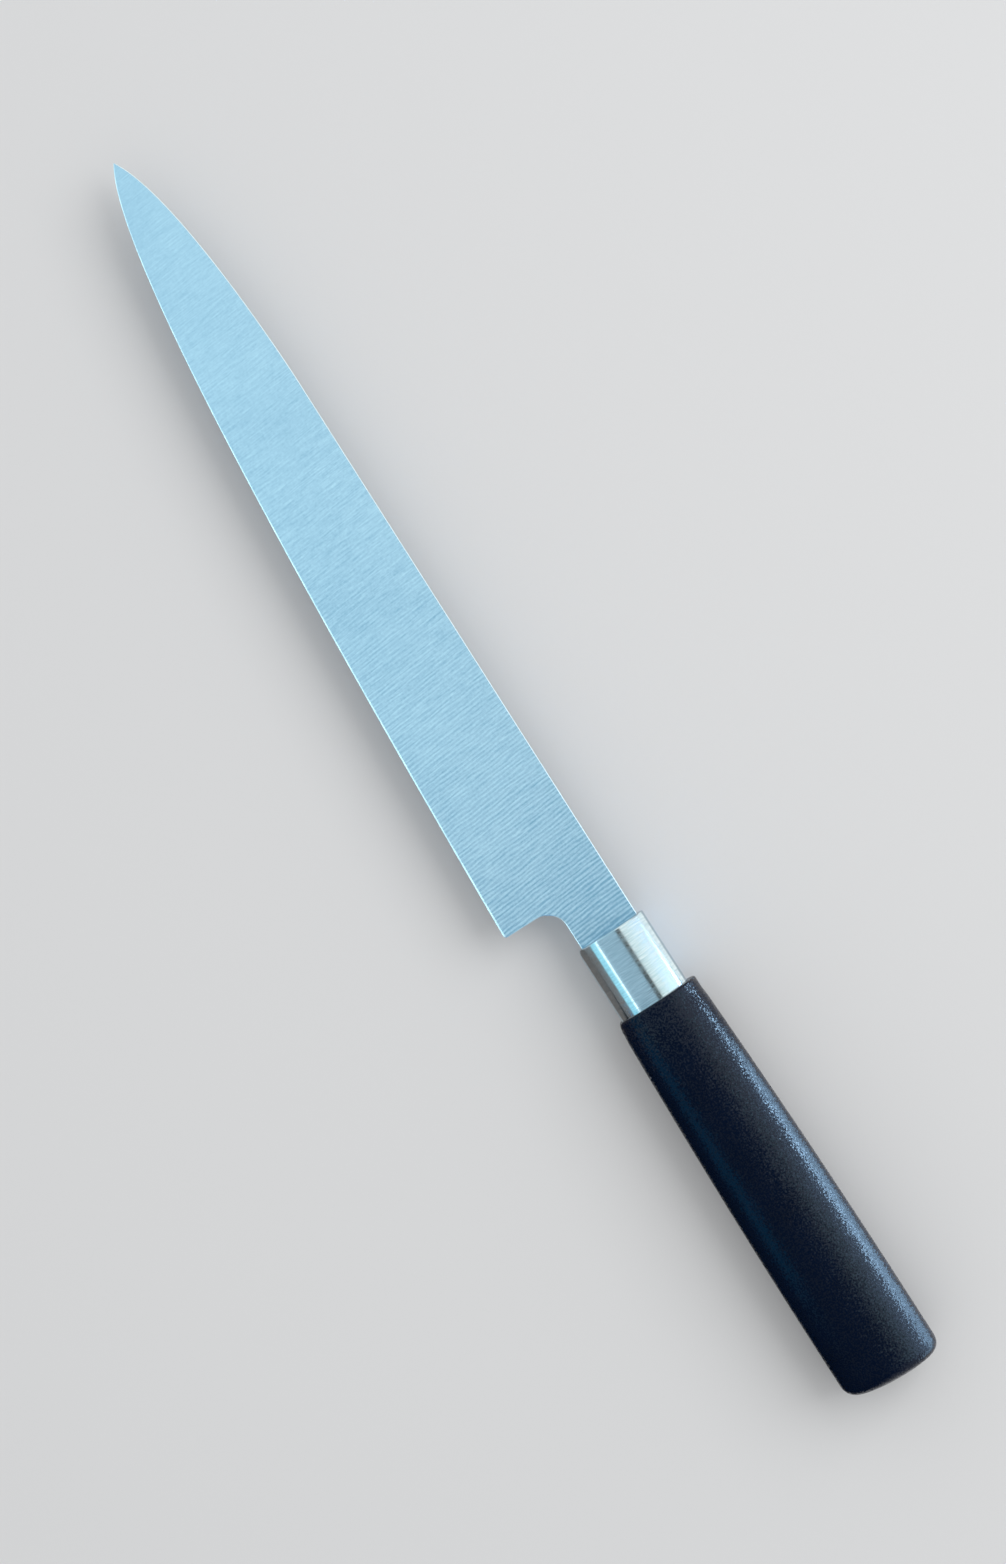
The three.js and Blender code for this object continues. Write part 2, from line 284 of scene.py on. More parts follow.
for edges in hole_edges:
    bmesh.ops.bridge_loops(blade_mesh, edges=edges)
bmesh.ops.recalc_face_normals(blade_mesh, faces=blade_mesh.faces)


# Stainless steel, ground across the blade on a belt and left satin: a soft pale steel-grey mirror, tinted
# blue by a painted reflection of a blue sky, with fine straight scratches from spine to edge, wavering belt
# lines that fade toward the tip, and a weak mottle. Scratches and lines are drawn coarser than life, so
# that they show in the render.
# Both steel colours carry a painted reflection of a blue sky in their blue tint.
STEEL_PALE_WITH_PAINTED_SKY = "#CBE5F4"
STEEL_DEEP_WITH_PAINTED_SKY = "#81AAC5"
LINE_SPACING = 0.95
LINE_STRETCH = 2.5
LINES_REACH = 125
SCRATCH_WIDTH = 0.28
SCRATCH_LENGTH = 5
STREAK_LEAN = 5
STREAK_CONTRAST = 0.84
CONTRAST_LEFT_AT_TIP = 0.34
MOTTLE_SIZE = 0.5
MOTTLE_SHARE = 0.36
SCUFFS_AT_FERRULE = 0.78
SCUFFS_PAST_LINES = 0.97
RIDGE_DEPTH = 0.02
NICK_SIZE = 2.5

# The steel's tone between pale and deep: cloudy all over, with painted shade near the ferrule, slanting
# toward the spine, and at the tip.
CLOUD_SIZE = 30
CLOUD_CONTRAST = 0.3
TONE_OVERALL = 0.27
TONE_AND_PAINTED_SHADE_AT_TIP = 0.38
PAINTED_TIP_SHADE_LENGTH = 60
PAINTED_SHADE_AT_FERRULE = 0.28
PAINTED_SHADE_LENGTH = 42
PAINTED_SHADE_SLANT = (1, 0.8, 0)

# A wave texture at scale 1 repeats every 2 pi / 20 units.
WAVE_UNIT = 20 / (2 * math.pi)


def hex_colour(code):
    """An sRGB hex value as a linear colour with full alpha."""
    channels = [int(code[start:start + 2], 16) / 255 for start in (1, 3, 5)]
    linear = [c / 12.92 if c <= 0.04045 else ((c + 0.055) / 1.055) ** 2.4 for c in channels]
    return (*linear, 1.0)


def add(tree, kind, settings=None, links=None):
    """A node with its settings, by socket or property, and with the sockets that feed it."""
    node = tree.nodes.new(kind)
    sockets = {socket.name for socket in node.inputs}
    for key, value in (settings or {}).items():
        if key not in sockets and isinstance(key, str):
            setattr(node, key, value)
    for key, value in (settings or {}).items():
        if key in sockets or isinstance(key, int):
            node.inputs[key].default_value = value
    for key, source in (links or {}).items():
        tree.links.new(source, node.inputs[key])
    return node


def new_material(name, colour, roughness, metallic):
    """A material with its shader's plain values set, and what its nodes start from and end in."""
    material = bpy.data.materials.new(name)
    material.use_nodes = True
    tree = material.node_tree
    shader = tree.nodes["Principled BSDF"]
    shader.inputs["Base Color"].default_value = hex_colour(colour)
    shader.inputs["Roughness"].default_value = roughness
    shader.inputs["Metallic"].default_value = metallic
    where = tree.nodes.new("ShaderNodeTexCoord").outputs["Object"]
    return material, tree, shader, where


satin_steel, tree, shader, where = new_material(
    "satin_stainless_ground_across", STEEL_PALE_WITH_PAINTED_SKY, roughness=0.36, metallic=1.0
)
line_places = add(
    tree, "ShaderNodeMapping",
    {
        "vector_type": "TEXTURE",
        "Rotation": (0, 0, math.radians(STREAK_LEAN)),
        "Scale": (LINE_SPACING * WAVE_UNIT * MM, LINE_STRETCH * LINE_SPACING * WAVE_UNIT * MM, MM),
    },
    {"Vector": where},
)
belt_lines = add(
    tree, "ShaderNodeTexWave",
    {"Scale": 1.0, "Distortion": 3.5, "Detail": 2.0, "Detail Scale": 1.5},
    {"Vector": line_places.outputs[0]},
)
scratch_places = add(
    tree, "ShaderNodeMapping",
    {
        "vector_type": "TEXTURE",
        "Rotation": (0, 0, math.radians(STREAK_LEAN)),
        "Scale": (SCRATCH_WIDTH * MM, SCRATCH_LENGTH * MM, MM),
    },
    {"Vector": where},
)
fine_scratches = add(
    tree, "ShaderNodeTexNoise",
    {"Scale": 1.0, "Detail": 3.0, "Roughness": 0.7},
    {"Vector": scratch_places.outputs[0]},
)
mottle = add(
    tree, "ShaderNodeTexNoise",
    {"Scale": 1 / (MOTTLE_SIZE * MM), "Detail": 2.0, "Roughness": 0.7},
    {"Vector": where},
)
scuffs = add(
    tree, "ShaderNodeMix",
    {"Factor": MOTTLE_SHARE},
    {"A": fine_scratches.outputs[0], "B": mottle.outputs[0]},
)
along = add(tree, "ShaderNodeSeparateXYZ", None, {"Vector": where})
lines_end = knife_origin.x + LINES_REACH * MM
scuff_share = add(
    tree, "ShaderNodeMapRange",
    {
        "From Min": knife_origin.x, "From Max": lines_end,
        "To Min": SCUFFS_AT_FERRULE, "To Max": SCUFFS_PAST_LINES,
    },
    {"Value": along.outputs["X"]},
)
streaks = add(
    tree, "ShaderNodeMix", None,
    {"Factor": scuff_share.outputs[0], "A": belt_lines.outputs[1], "B": scuffs.outputs[0]},
)
around_zero = add(
    tree, "ShaderNodeMapRange",
    {"From Min": 0.2, "From Max": 0.8, "To Min": -STREAK_CONTRAST, "To Max": STREAK_CONTRAST},
    {"Value": streaks.outputs[0]},
)
contrast_left = add(
    tree, "ShaderNodeMapRange",
    {
        "From Min": knife_origin.x, "From Max": blade_high.x,
        "To Min": 1.0, "To Max": CONTRAST_LEFT_AT_TIP,
    },
    {"Value": along.outputs["X"]},
)
clouds = add(tree, "ShaderNodeTexNoise", {"Scale": 1 / (CLOUD_SIZE * MM), "Detail": 2.0}, {"Vector": where})
# Painted shade: the steel's tone is drawn deeper over the last stretch to the tip.
painted_tip_shade_start = blade_high.x - PAINTED_TIP_SHADE_LENGTH * MM
painted_shade_toward_tip = add(
    tree, "ShaderNodeMapRange",
    {"From Min": painted_tip_shade_start, "From Max": blade_high.x, "To Min": TONE_OVERALL, "To Max": TONE_AND_PAINTED_SHADE_AT_TIP},
    {"Value": along.outputs["X"]},
)
cloudy_tone_and_tip_shade = add(
    tree, "ShaderNodeMath", {"operation": "MULTIPLY_ADD", 1: CLOUD_CONTRAST},
    {0: clouds.outputs[0], 2: painted_shade_toward_tip.outputs[0]},
)
# Painted shade: the steel is drawn deeper near the ferrule, more so toward the spine.
painted_shade_place = add(
    tree, "ShaderNodeVectorMath", {"operation": "DOT_PRODUCT", 1: PAINTED_SHADE_SLANT}, {0: where}
)
painted_shade_start = knife_origin.dot(Vector(PAINTED_SHADE_SLANT))
painted_shade_end = painted_shade_start + PAINTED_SHADE_LENGTH * MM
painted_shade_near_ferrule = add(
    tree, "ShaderNodeMapRange",
    {"From Min": painted_shade_start, "From Max": painted_shade_end, "To Min": PAINTED_SHADE_AT_FERRULE, "To Max": 0.0},
    {"Value": painted_shade_place.outputs["Value"]},
)
tone_and_painted_shade = add(
    tree, "ShaderNodeMath", {"operation": "ADD"}, {0: cloudy_tone_and_tip_shade.outputs[0], 1: painted_shade_near_ferrule.outputs[0]}
)
shade = add(
    tree, "ShaderNodeMath", {"operation": "MULTIPLY_ADD"},
    {0: around_zero.outputs[0], 1: contrast_left.outputs[0], 2: tone_and_painted_shade.outputs[0]},
)
tint = add(
    tree, "ShaderNodeMix",
    {"data_type": "RGBA", 6: hex_colour(STEEL_PALE_WITH_PAINTED_SKY), 7: hex_colour(STEEL_DEEP_WITH_PAINTED_SKY)},
    {0: shade.outputs[0]},
)
dullness = add(
    tree, "ShaderNodeMapRange", {"To Min": 0.31, "To Max": 0.43}, {"Value": shade.outputs[0]}
)
ridges = add(
    tree, "ShaderNodeBump", {"Strength": 0.15, "Distance": RIDGE_DEPTH * MM}, {"Height": shade.outputs[0]}
)
tree.links.new(tint.outputs[2], shader.inputs["Base Color"])
tree.links.new(dullness.outputs[0], shader.inputs["Roughness"])
tree.links.new(ridges.outputs[0], shader.inputs["Normal"])

# The same steel where a fine stone or a buff has passed: brighter, and smooth enough to glint in a line.
honed_steel, tree, shader, where = new_material("honed_stainless", "#CADCE6", roughness=0.26, metallic=1.0)
nicks = add(tree, "ShaderNodeTexNoise", {"Scale": 1 / (NICK_SIZE * MM), "Detail": 3.0}, {"Vector": where})
dullness = add(
    tree, "ShaderNodeMapRange",
    {"From Min": 0.3, "From Max": 0.7, "To Min": 0.18, "To Max": 0.34},
    {"Value": nicks.outputs[0]},
)
tree.links.new(dullness.outputs[0], shader.inputs["Roughness"])

blade = make_piece("blade_and_tang", blade_mesh, [satin_steel, honed_steel], sharp_degrees=7)
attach(blade, "root")
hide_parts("blade")


# Neck seal and tang bedding: what fills the ferrule's nose and the handle's socket round the tang.
# Both are cast in place and lie inside, so they keep their plain cast forms.
LUMP_SIZE = 1.5
LUMP_DEPTH = 0.1
BUBBLE_SIZE = 2.5

# Sealing compound, pressed in and cured: dark grey and matt, with a lumpy skin.
seal_compound, tree, shader, where = new_material(
    "cured_sealing_compound", "#2B2D2F", roughness=0.7, metallic=0.0
)
lumps = add(tree, "ShaderNodeTexNoise", {"Scale": 1 / (LUMP_SIZE * MM), "Detail": 2.0}, {"Vector": where})
skin = add(
    tree, "ShaderNodeBump", {"Strength": 0.2, "Distance": LUMP_DEPTH * MM}, {"Height": lumps.outputs[0]}
)
grey = add(
    tree, "ShaderNodeMix",
    {"data_type": "RGBA", 6: hex_colour("#2F3133"), 7: hex_colour("#242628")},
    {0: lumps.outputs[0]},
)
tree.links.new(grey.outputs[2], shader.inputs["Base Color"])
tree.links.new(skin.outputs[0], shader.inputs["Normal"])

# Epoxy resin, poured and cured: amber, fairly glossy and clouded by bubbles.
bedding_resin, tree, shader, where = new_material(
    "cured_amber_resin", "#8A7D5C", roughness=0.35, metallic=0.0
)
bubbles = add(
    tree, "ShaderNodeTexNoise", {"Scale": 1 / (BUBBLE_SIZE * MM), "Detail": 2.0}, {"Vector": where}
)
amber = add(
    tree, "ShaderNodeMix",
    {"data_type": "RGBA", 6: hex_colour("#8A7D5C"), 7: hex_colour("#6E6042")},
    {0: bubbles.outputs[0]},
)
tree.links.new(amber.outputs[2], shader.inputs["Base Color"])

for node, material in (("neck_seal", seal_compound), ("tang_bedding", bedding_resin)):
    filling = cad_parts[node]
    filling.data.materials.clear()
    filling.data.materials.append(material)


# Ferrule: a cup drawn from stainless sheet, pushed over the handle's spigot, with a slot in its nose
# for the tang. Its front rim is rounded all round, and eased further on the edge side.
FERRULE_LENGTH = (ferrule_high.x - ferrule_low.x) / MM
FERRULE_WIDTH = (ferrule_high.y - ferrule_low.y) / MM
FERRULE_HEIGHT = (ferrule_high.z - ferrule_low.z) / MM
FERRULE_WALL = 1.0
FERRULE_FRONT_WALL = 1.2
FERRULE_EASE_LENGTH = 2.6
FERRULE_EASE_DEPTH = 1.0
FERRULE_RIM = 0.25
FIT_GAP = 0.3
OVAL_EXPONENT = 2.3
SLOT_EXPONENT = 9
FERRULE_POINTS = 120
RIM_STEPS = 14


def oval_ring(x, centre, width, height, points, exponent=OVAL_EXPONENT, eased=0.0, lean=0.0):
    """A section across the knife: an oval, cut off upright on the edge side where that is eased."""
    power = 2 / exponent
    ring = []
    for index in range(points):
        angle = 2 * math.pi * (index + 0.5) / points
        side = math.cos(angle)
        up = math.sin(angle)
        y = min(math.copysign(abs(side) ** power, side) * width / 2, width / 2 - eased)
        z = math.copysign(abs(up) ** power, up) * height / 2
        ring.append(place(x + lean * y, centre + y, z))
    return ring


def eased_front(front, centre, width, height, ease_length, ease_depth, rim, points):
    """The rings up to a front face: rounded all round by the rim, and eased on the edge side."""
    rings = []
    for step in range(RIM_STEPS + 1):
        angle = math.pi / 2 * step / RIM_STEPS
        x = -ease_length * (1 - math.sin(angle))
        within_rim = max(0, x + rim) / rim
        rounded = 2 * rim * (1 - math.sqrt(1 - within_rim ** 2))
        eased = ease_depth * (1 - math.cos(angle))
        rings.append(oval_ring(front + x, centre, width - rounded, height - rounded, points, eased=eased))
    return rings


ferrule_outside = (FERRULE_WIDTH, FERRULE_HEIGHT)
ferrule_inside = (FERRULE_WIDTH - 2 * FERRULE_WALL, FERRULE_HEIGHT - 2 * FERRULE_WALL)
slot_size = (TANG_ROOT_WIDTH + 2 * FIT_GAP, BLADE_THICKNESS + 2 * FIT_GAP)
ferrule_rings = [
    oval_ring(-FERRULE_LENGTH, FERRULE_OFFSET, *ferrule_inside, FERRULE_POINTS),
    oval_ring(-FERRULE_LENGTH, FERRULE_OFFSET, *ferrule_outside, FERRULE_POINTS),
    *eased_front(
        0, FERRULE_OFFSET, *ferrule_outside,
        FERRULE_EASE_LENGTH, FERRULE_EASE_DEPTH, FERRULE_RIM, FERRULE_POINTS,
    ),
    oval_ring(0, FERRULE_OFFSET, *slot_size, FERRULE_POINTS, SLOT_EXPONENT),
    oval_ring(-FERRULE_FRONT_WALL, FERRULE_OFFSET, *slot_size, FERRULE_POINTS, SLOT_EXPONENT),
    oval_ring(-FERRULE_FRONT_WALL, FERRULE_OFFSET, *ferrule_inside, FERRULE_POINTS),
    oval_ring(-FERRULE_LENGTH, FERRULE_OFFSET, *ferrule_inside, FERRULE_POINTS),
]

# Stainless steel, buffed round the ferrule: nearly a mirror, with hairlines that run round it
# and smear what it mirrors a little along the knife.
HAIRLINE_WIDTH = 0.25
HAIRLINE_LENGTH = 4
HAIRLINE_DEPTH = 0.01
FERRULE_PALE = "#C2D5DF"
FERRULE_DEEP = "#A6BECB"
buffed_steel, tree, shader, where = new_material(
    "buffed_drawn_stainless", FERRULE_PALE, roughness=0.16, metallic=1.0
)
hairline_places = add(
    tree, "ShaderNodeMapping",
    {
        "vector_type": "TEXTURE",
        "Scale": (HAIRLINE_WIDTH * MM, HAIRLINE_LENGTH * MM, HAIRLINE_LENGTH * MM),
    },
    {"Vector": where},
)
hairlines = add(
    tree, "ShaderNodeTexNoise", {"Scale": 1.0, "Detail": 3.0}, {"Vector": hairline_places.outputs[0]}
)
wear = add(
    tree, "ShaderNodeMapRange", {"From Min": 0.3, "From Max": 0.7}, {"Value": hairlines.outputs[0]}
)
dullness = add(
    tree, "ShaderNodeMapRange", {"To Min": 0.1, "To Max": 0.22}, {"Value": wear.outputs[0]}
)
tone = add(
    tree, "ShaderNodeMix",
    {"data_type": "RGBA", 6: hex_colour(FERRULE_PALE), 7: hex_colour(FERRULE_DEEP)},
    {0: wear.outputs[0]},
)
ridges = add(
    tree, "ShaderNodeBump", {"Strength": 0.2, "Distance": HAIRLINE_DEPTH * MM}, {"Height": wear.outputs[0]}
)
tree.links.new(tone.outputs[2], shader.inputs["Base Color"])
tree.links.new(dullness.outputs[0], shader.inputs["Roughness"])
tree.links.new(ridges.outputs[0], shader.inputs["Normal"])

ferrule = make_piece("ferrule_cup", loft(ferrule_rings), [buffed_steel], sharp_degrees=30)
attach(ferrule, "root")
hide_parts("ferrule")


# Handle: one moulded plastic grip with an oval section that swells to a softly domed butt. A spigot
# at its front carries the ferrule, and a socket down its middle takes the tang and its bedding.
HANDLE_LENGTH = (ferrule_low.x - handle_low.x) / MM
HANDLE_WIDTH = (handle_high.y - handle_low.y) / MM
HANDLE_HEIGHT = (handle_high.z - handle_low.z) / MM
SPIGOT_FRONT = (handle_high.x - knife_origin.x) / MM
HANDLE_FRONT_WIDTH = 21.1
HANDLE_WIDEST_FROM_FRONT = 90
HANDLE_EASE_LENGTH = 3.0
HANDLE_EASE_DEPTH = 1.2
HANDLE_RIM = 0.4
BUTT_DOME = 1.05
BUTT_RADIUS = 3.1
BUTT_LEAN_ANGLE = 3
BEDDING_WALL = 1.0
HANDLE_POINTS = 144
HANDLE_STATIONS = 40
BUTT_STEPS = 12

shoulder = -FERRULE_LENGTH
flatness = HANDLE_HEIGHT / HANDLE_WIDTH
lean = math.tan(math.radians(BUTT_LEAN_ANGLE))
dome_half = HANDLE_WIDTH / 2 - BUTT_RADIUS
dome_slope = 2 * BUTT_DOME / dome_half
butt_depth = BUTT_DOME + (dome_slope + 1) * BUTT_RADIUS


def grip_ring(from_front, width, leaned=0.0):
    """A section of the grip at a distance behind its shoulder."""
    return oval_ring(shoulder - from_front, 0, width, width * flatness, HANDLE_POINTS, lean=leaned * lean)


def grip_width(from_front):
    """The grip's width: a curve that rises to the widest place and stays there."""
    left = max(0, 1 - from_front / HANDLE_WIDEST_FROM_FRONT)
    return HANDLE_WIDTH - (HANDLE_WIDTH - HANDLE_FRONT_WIDTH) * left ** 2


handle_rings = []
for step in range(BUTT_STEPS):
    share = step / BUTT_STEPS
    handle_rings.append(grip_ring(HANDLE_LENGTH - BUTT_DOME * share ** 2, 2 * dome_half * share, 1))
for step in range(BUTT_STEPS + 1):
    share = step / BUTT_STEPS
    depth = BUTT_DOME + BUTT_RADIUS * (dome_slope * (1 - (1 - share) ** 2) + share ** 2)
    width = HANDLE_WIDTH - 2 * BUTT_RADIUS * (1 - share) ** 2
    handle_rings.append(grip_ring(HANDLE_LENGTH - depth, width, 1))
grip_length = HANDLE_LENGTH - butt_depth - HANDLE_EASE_LENGTH
lean_end = HANDLE_LENGTH - butt_depth - HANDLE_WIDEST_FROM_FRONT
for step in range(1, HANDLE_STATIONS):
    behind = grip_length * step / HANDLE_STATIONS
    from_front = HANDLE_LENGTH - butt_depth - behind
    handle_rings.append(grip_ring(from_front, grip_width(from_front), max(0, 1 - behind / lean_end)))
handle_rings += eased_front(
    shoulder, 0, HANDLE_FRONT_WIDTH, HANDLE_FRONT_WIDTH * flatness,
    HANDLE_EASE_LENGTH, HANDLE_EASE_DEPTH, HANDLE_RIM, HANDLE_POINTS,
)
spigot_size = (ferrule_inside[0] - 2 * FIT_GAP, ferrule_inside[1] - 2 * FIT_GAP)
socket_margin = BEDDING_WALL + 2 * FIT_GAP
socket_front = (TANG_ROOT_WIDTH + 2 * socket_margin, BLADE_THICKNESS + 2 * socket_margin)
socket_end = (TANG_END_WIDTH + 2 * socket_margin, BLADE_THICKNESS + 2 * socket_margin)
handle_rings += [
    oval_ring(shoulder, FERRULE_OFFSET, *spigot_size, HANDLE_POINTS),
    oval_ring(SPIGOT_FRONT, FERRULE_OFFSET, *spigot_size, HANDLE_POINTS),
    oval_ring(SPIGOT_FRONT, FERRULE_OFFSET, *socket_front, HANDLE_POINTS, SLOT_EXPONENT),
    oval_ring(-TANG_LENGTH - socket_margin, FERRULE_OFFSET, *socket_end, HANDLE_POINTS, SLOT_EXPONENT),
]

# Black polypropylene, moulded in a spark-eroded tool: a fine pebble grain, smoother in places, that breaks
# each highlight into sparkles. The grain is drawn coarser than life, so that it shows in the render.
GRAIN_SIZE = 0.42
GRAIN_TILT = 0.78
BLOTCH_SIZE = 9
NOISE_MIDDLE = (0.5, 0.5, 0.5)
moulded_black, tree, shader, where = new_material(
    "moulded_black_polypropylene", "#051125", roughness=0.25, metallic=0.0
)
shader.inputs["Specular IOR Level"].default_value = 0.2
grain = add(tree, "ShaderNodeTexNoise", {"Scale": 1 / (GRAIN_SIZE * MM), "Detail": 1.0}, {"Vector": where})
from_middle = add(
    tree, "ShaderNodeVectorMath", {"operation": "SUBTRACT", 1: NOISE_MIDDLE}, {0: grain.outputs["Color"]}
)
upright = add(tree, "ShaderNodeNewGeometry").outputs["Normal"]
tilted = add(
    tree, "ShaderNodeVectorMath",
    {"operation": "MULTIPLY_ADD", 1: (GRAIN_TILT, GRAIN_TILT, GRAIN_TILT)},
    {0: from_middle.outputs[0], 2: upright},
)
facets = add(tree, "ShaderNodeVectorMath", {"operation": "NORMALIZE"}, {0: tilted.outputs[0]})
blotches = add(
    tree, "ShaderNodeTexNoise", {"Scale": 1 / (BLOTCH_SIZE * MM), "Detail": 2.0}, {"Vector": where}
)
black = add(
    tree, "ShaderNodeMix",
    {"data_type": "RGBA", 6: hex_colour("#040E21"), 7: hex_colour("#061329")},
    {0: blotches.outputs[0]},
)
dullness = add(
    tree, "ShaderNodeMapRange",
    {"From Min": 0.35, "From Max": 0.65, "To Min": 0.13, "To Max": 0.38},
    {"Value": grain.outputs[0]},
)
tree.links.new(black.outputs[2], shader.inputs["Base Color"])
tree.links.new(dullness.outputs[0], shader.inputs["Roughness"])
tree.links.new(facets.outputs[0], shader.inputs["Normal"])

handle = make_piece("moulded_handle", loft(handle_rings), [moulded_black], sharp_degrees=30)
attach(handle, "root")
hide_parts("handle")


# Studio: a plain pale floor, an even world and one soft lamp. Cards round the knife, which only its
# gloss can see, give the metal a pale sky above, a window on the spine side and a dark side opposite,
# and keep the handle under a dark canopy with a low strip of light along it.
FLOOR_SIZE = 6.0
FLOOR_COLOUR = "#D9DADB"
WORLD_LEVEL = 0.75
LAMP_SIZE = 0.9
LAMP_POWER = 5
LAMP_PLACE = (0, -0.75, 0.85)

# How far the cards stand from the knife, and where they start and end along it, in metres.
CARD_REACH = 0.85
BAR_REACH = 0.8
CANOPY_REACH = 0.06
STRIP_REACH = 0.25
FLOOR_CARD_HEIGHT = 0.0005
FLOOR_CARD_REACH = 0.6
DARK_FLOOR_START = 0.012
BRIGHT_FLOOR_START = -0.025
FLOOR_STRIP_START = -0.038
FLOOR_STRIP_END = -0.25
FLOOR_STRIP_BACK = -0.24
PAST_TIP = 0.9
PAST_BUTT = -0.9
SKY_CHANGE = 0.0
SKY_BACK = -0.14
SIDE_FRONT = -0.03
SIDE_BACK = -0.066
BAR_FRONT = -0.04
BAR_BACK = -0.15
CANOPY_FRONT = -0.068
CANOPY_BACK = -0.4
BLUE_STRIP_BACK = -0.145
STRIP_FRONT = -0.082
STRIP_BACK = -0.203

# Where the cards meet or end, in degrees from straight up, plus to the edge side.
BAR_TOP = -6
BAR_FOOT = -15
STRIP_TOP = -80
STRIP_FOOT = -90
SKY_TO_WINDOW = -8
SKY_TO_LINE = 35
LINE_TO_STRIP = 40
STRIP_TO_SIDE = 60
WINDOW_TO_LOW = -62
UNDER_HORIZON = 92
CANOPY_SPINE_SIDE = -12
CANOPY_EDGE_SIDE = 38
CANOPY_SIDE = 62
SIDE_COLOUR = "#857973"
LOW_WINDOW_COLOUR = "#FFF9F0"
CANOPY_COLOUR = "#0A1420"

# The window behind the handle grows brighter step by step toward the floor.
WINDOW_STEPS = (
    (12, 22, "#DCFFF0", 0.55),
    (22, 35, "#DCFFF4", 1.65),
    (35, 52, "#CCEFFF", 3.35),
    (52, UNDER_HORIZON, "#C8E4FF", 4.5),
)


def glossy_card(name, corners, colour, strength):
    """A glowing card that only gloss sees: not the camera, and no matt surface directly."""
    bm = bmesh.new()
    verts = [bm.verts.new(corner) for corner in corners]
    bmesh.ops.contextual_create(bm, geom=verts)
    mesh = bpy.data.meshes.new(name)
    bm.to_mesh(mesh)
    bm.free()
    glow = bpy.data.materials.new(name)
    glow.use_nodes = True
    tree = glow.node_tree
    tree.nodes.remove(tree.nodes["Principled BSDF"])
    emission = add(tree, "ShaderNodeEmission", {"Color": hex_colour(colour), "Strength": strength})
    tree.links.new(emission.outputs[0], tree.nodes["Material Output"].inputs["Surface"])
    mesh.materials.append(glow)
    made = bpy.data.objects.new(name, mesh)
    bpy.context.scene.collection.objects.link(made)
    made.visible_camera = False
    made.visible_diffuse = False
    made.visible_shadow = False


def overhead(back, front, near, far, reach=CARD_REACH):
    """Corners of a card along the knife between two angles from straight up, plus to the edge side."""
    corners = []
    for degrees, ends in ((near, (back, front)), (far, (front, back))):
        angle = math.radians(degrees)
        for x in ends:
            corners.append((x, reach * math.sin(angle), reach * math.cos(angle)))
    return corners


def on_floor(back, front, near, far):
    """Corners of a card just above the floor, between two distances to the edge side."""
    places = ((back, near), (front, near), (front, far), (back, far))
    return [(x, y, FLOOR_CARD_HEIGHT) for x, y in places]


pale_sky = overhead(SKY_CHANGE, PAST_TIP, SKY_TO_LINE, SKY_TO_WINDOW)
dimmer_sky = overhead(SKY_BACK, SKY_CHANGE, SKY_TO_LINE, SKY_TO_WINDOW)
glossy_card("pale_sky", pale_sky, "#D6F7FF", 1.09)
glossy_card("dimmer_sky", dimmer_sky, "#D4F2FF", 0.78)
glossy_card("sky_line", overhead(SKY_BACK, PAST_TIP, SKY_TO_LINE, LINE_TO_STRIP), "#F2FDFF", 3.0)
glossy_card("sky_strip", overhead(SKY_BACK, PAST_TIP, LINE_TO_STRIP, STRIP_TO_SIDE), "#B4F5FF", 1.35)
dark_floor = on_floor(SIDE_BACK, SIDE_FRONT, FLOOR_CARD_REACH, DARK_FLOOR_START)
glossy_card("dark_side", overhead(SKY_BACK, SIDE_FRONT, STRIP_TO_SIDE, UNDER_HORIZON), SIDE_COLOUR, 1.0)
glossy_card("dark_floor", dark_floor, SIDE_COLOUR, 1.0)
low_window = overhead(SKY_BACK, SIDE_FRONT, WINDOW_TO_LOW, -UNDER_HORIZON)
bright_floor = on_floor(SIDE_BACK, SIDE_FRONT, -FLOOR_CARD_REACH, BRIGHT_FLOOR_START)
glossy_card("window", overhead(SKY_BACK, PAST_TIP, SKY_TO_WINDOW, WINDOW_TO_LOW), "#FFFDF5", 1.33)
glossy_card("window_bar", overhead(BAR_BACK, BAR_FRONT, BAR_TOP, BAR_FOOT, BAR_REACH), "#2E2926", 1.0)
glossy_card("low_window", low_window, LOW_WINDOW_COLOUR, 1.34)
glossy_card("bright_floor", bright_floor, LOW_WINDOW_COLOUR, 1.4)

canopy_top = (CANOPY_EDGE_SIDE, CANOPY_SPINE_SIDE, CANOPY_REACH)
canopy_middle = (CANOPY_SIDE, CANOPY_EDGE_SIDE, CANOPY_REACH)
canopy_foot = (UNDER_HORIZON, CANOPY_SIDE, CANOPY_REACH)
floor_behind = on_floor(CANOPY_BACK, SIDE_BACK, FLOOR_CARD_REACH, DARK_FLOOR_START)
glossy_card("dark_canopy", overhead(CANOPY_BACK, CANOPY_FRONT, *canopy_top), CANOPY_COLOUR, 1.0)
glossy_card("canopy_strip", overhead(BLUE_STRIP_BACK, CANOPY_FRONT, *canopy_middle), "#1A8CC0", 2.2)
glossy_card("canopy_end", overhead(CANOPY_BACK, BLUE_STRIP_BACK, *canopy_middle), CANOPY_COLOUR, 1.0)
glossy_card("canopy_side", overhead(CANOPY_BACK, CANOPY_FRONT, *canopy_foot), CANOPY_COLOUR, 1.0)
glossy_card("dark_floor_behind", floor_behind, CANOPY_COLOUR, 1.0)
for near, far, colour, strength in WINDOW_STEPS:
    glossy_card(f"window_behind_{near}", overhead(PAST_BUTT, SKY_BACK, -near, -far), colour, strength)
low_strip = overhead(STRIP_BACK, STRIP_FRONT, STRIP_TOP, STRIP_FOOT, STRIP_REACH)
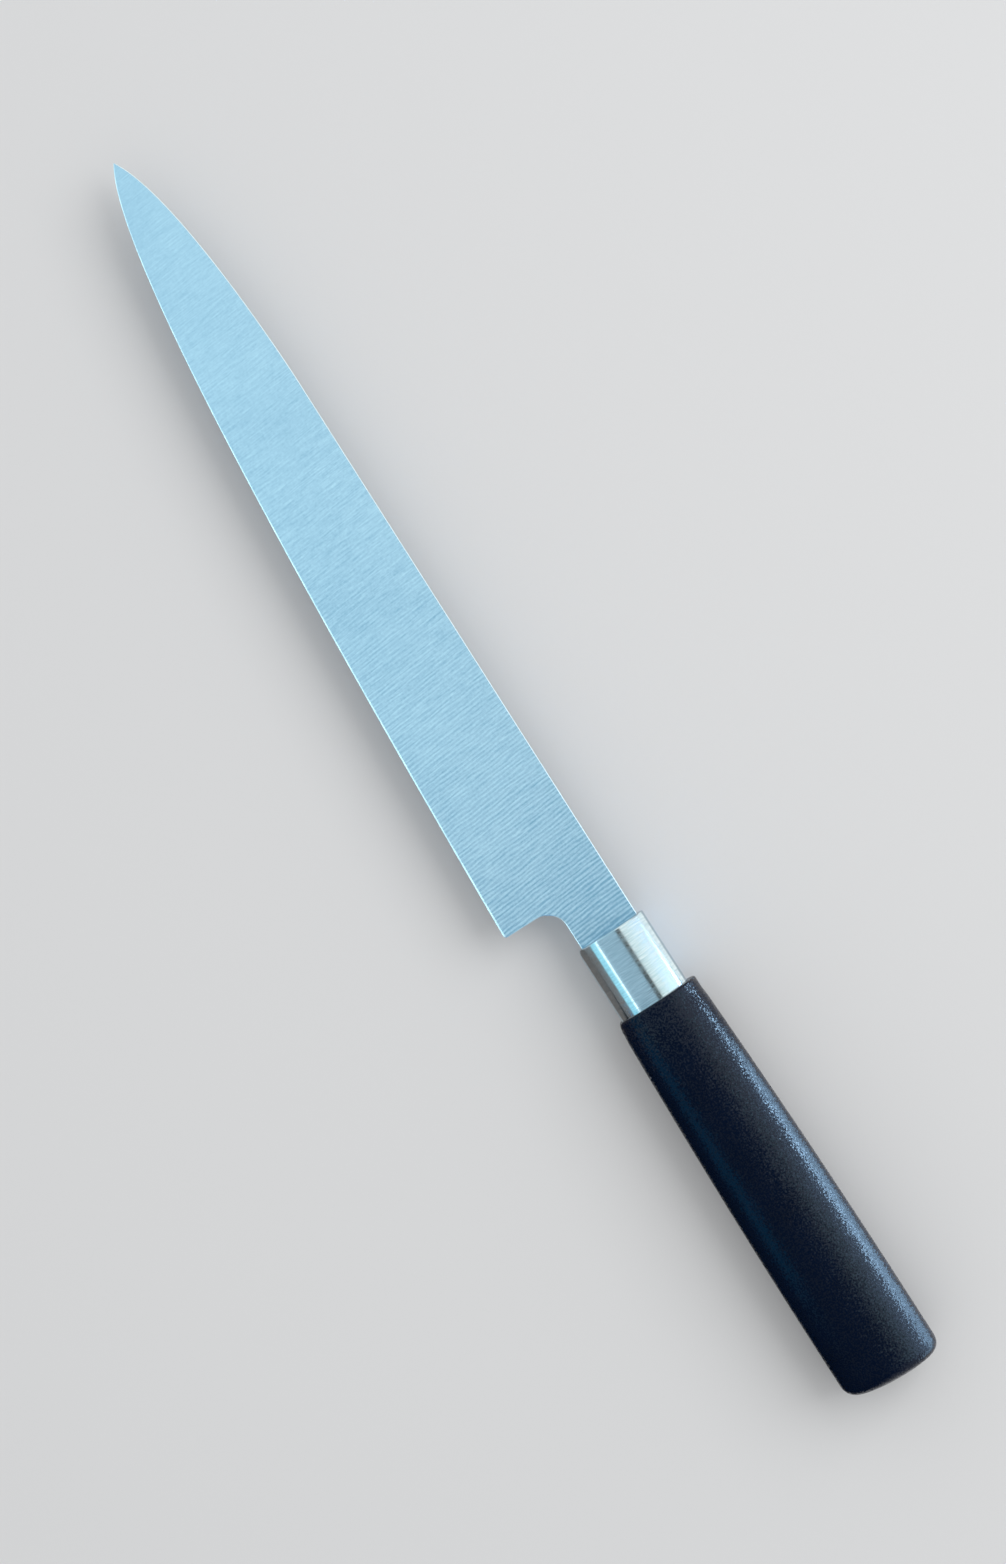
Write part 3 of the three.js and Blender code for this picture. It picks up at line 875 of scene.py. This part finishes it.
floor_strip = on_floor(FLOOR_STRIP_BACK, STRIP_FRONT, FLOOR_STRIP_END, FLOOR_STRIP_START)
glossy_card("low_strip", low_strip, "#B4DDFF", 44.0)
glossy_card("bright_floor_behind", floor_strip, "#B6DEFF", 8.2)

floor_mesh = bpy.data.meshes.new("floor")
bm = bmesh.new()
bmesh.ops.create_grid(bm, x_segments=1, y_segments=1, size=FLOOR_SIZE / 2)
bm.to_mesh(floor_mesh)
bm.free()
floor = bpy.data.objects.new("floor", floor_mesh)
bpy.context.scene.collection.objects.link(floor)
floor_paint, tree, shader, where = new_material(
    "matt_floor_paint", FLOOR_COLOUR, roughness=0.9, metallic=0.0
)
shader.inputs["Specular IOR Level"].default_value = 0.0
floor_mesh.materials.append(floor_paint)

lamp_data = bpy.data.lights.new("soft_lamp", "AREA")
lamp_data.size = LAMP_SIZE
lamp_data.energy = LAMP_POWER
lamp = bpy.data.objects.new("soft_lamp", lamp_data)
lamp.location = LAMP_PLACE
lamp.rotation_euler = (math.atan2(-LAMP_PLACE[1], LAMP_PLACE[2]), 0, 0)
lamp.visible_glossy = False
bpy.context.scene.collection.objects.link(lamp)

world = bpy.data.worlds.new("even_studio")
bpy.context.scene.world = world
world.use_nodes = True
background = world.node_tree.nodes["Background"]
background.inputs["Color"].default_value = hex_colour("#FFFFFF")
background.inputs["Strength"].default_value = WORLD_LEVEL

# Camera: straight above the knife, turned as in the photograph, with a long lens.
PHOTO_HEIGHT = 1564
PIXELS_PER_MM = 4.343
KNIFE_TURN = 122.7
PHOTO_MIDDLE = (42.1, 2.5)
LENS = 100
camera_data = bpy.data.cameras.new("camera")
camera_data.lens = LENS
camera = bpy.data.objects.new("camera", camera_data)
camera_height = PHOTO_HEIGHT / PIXELS_PER_MM * LENS / camera_data.sensor_width
camera.location = place(*PHOTO_MIDDLE, BLADE_THICKNESS / 2 + camera_height)
camera.rotation_euler = (0, 0, math.radians(-KNIFE_TURN))
bpy.context.scene.collection.objects.link(camera)
bpy.context.scene.camera = camera
bpy.context.scene.view_settings.view_transform = "Standard"
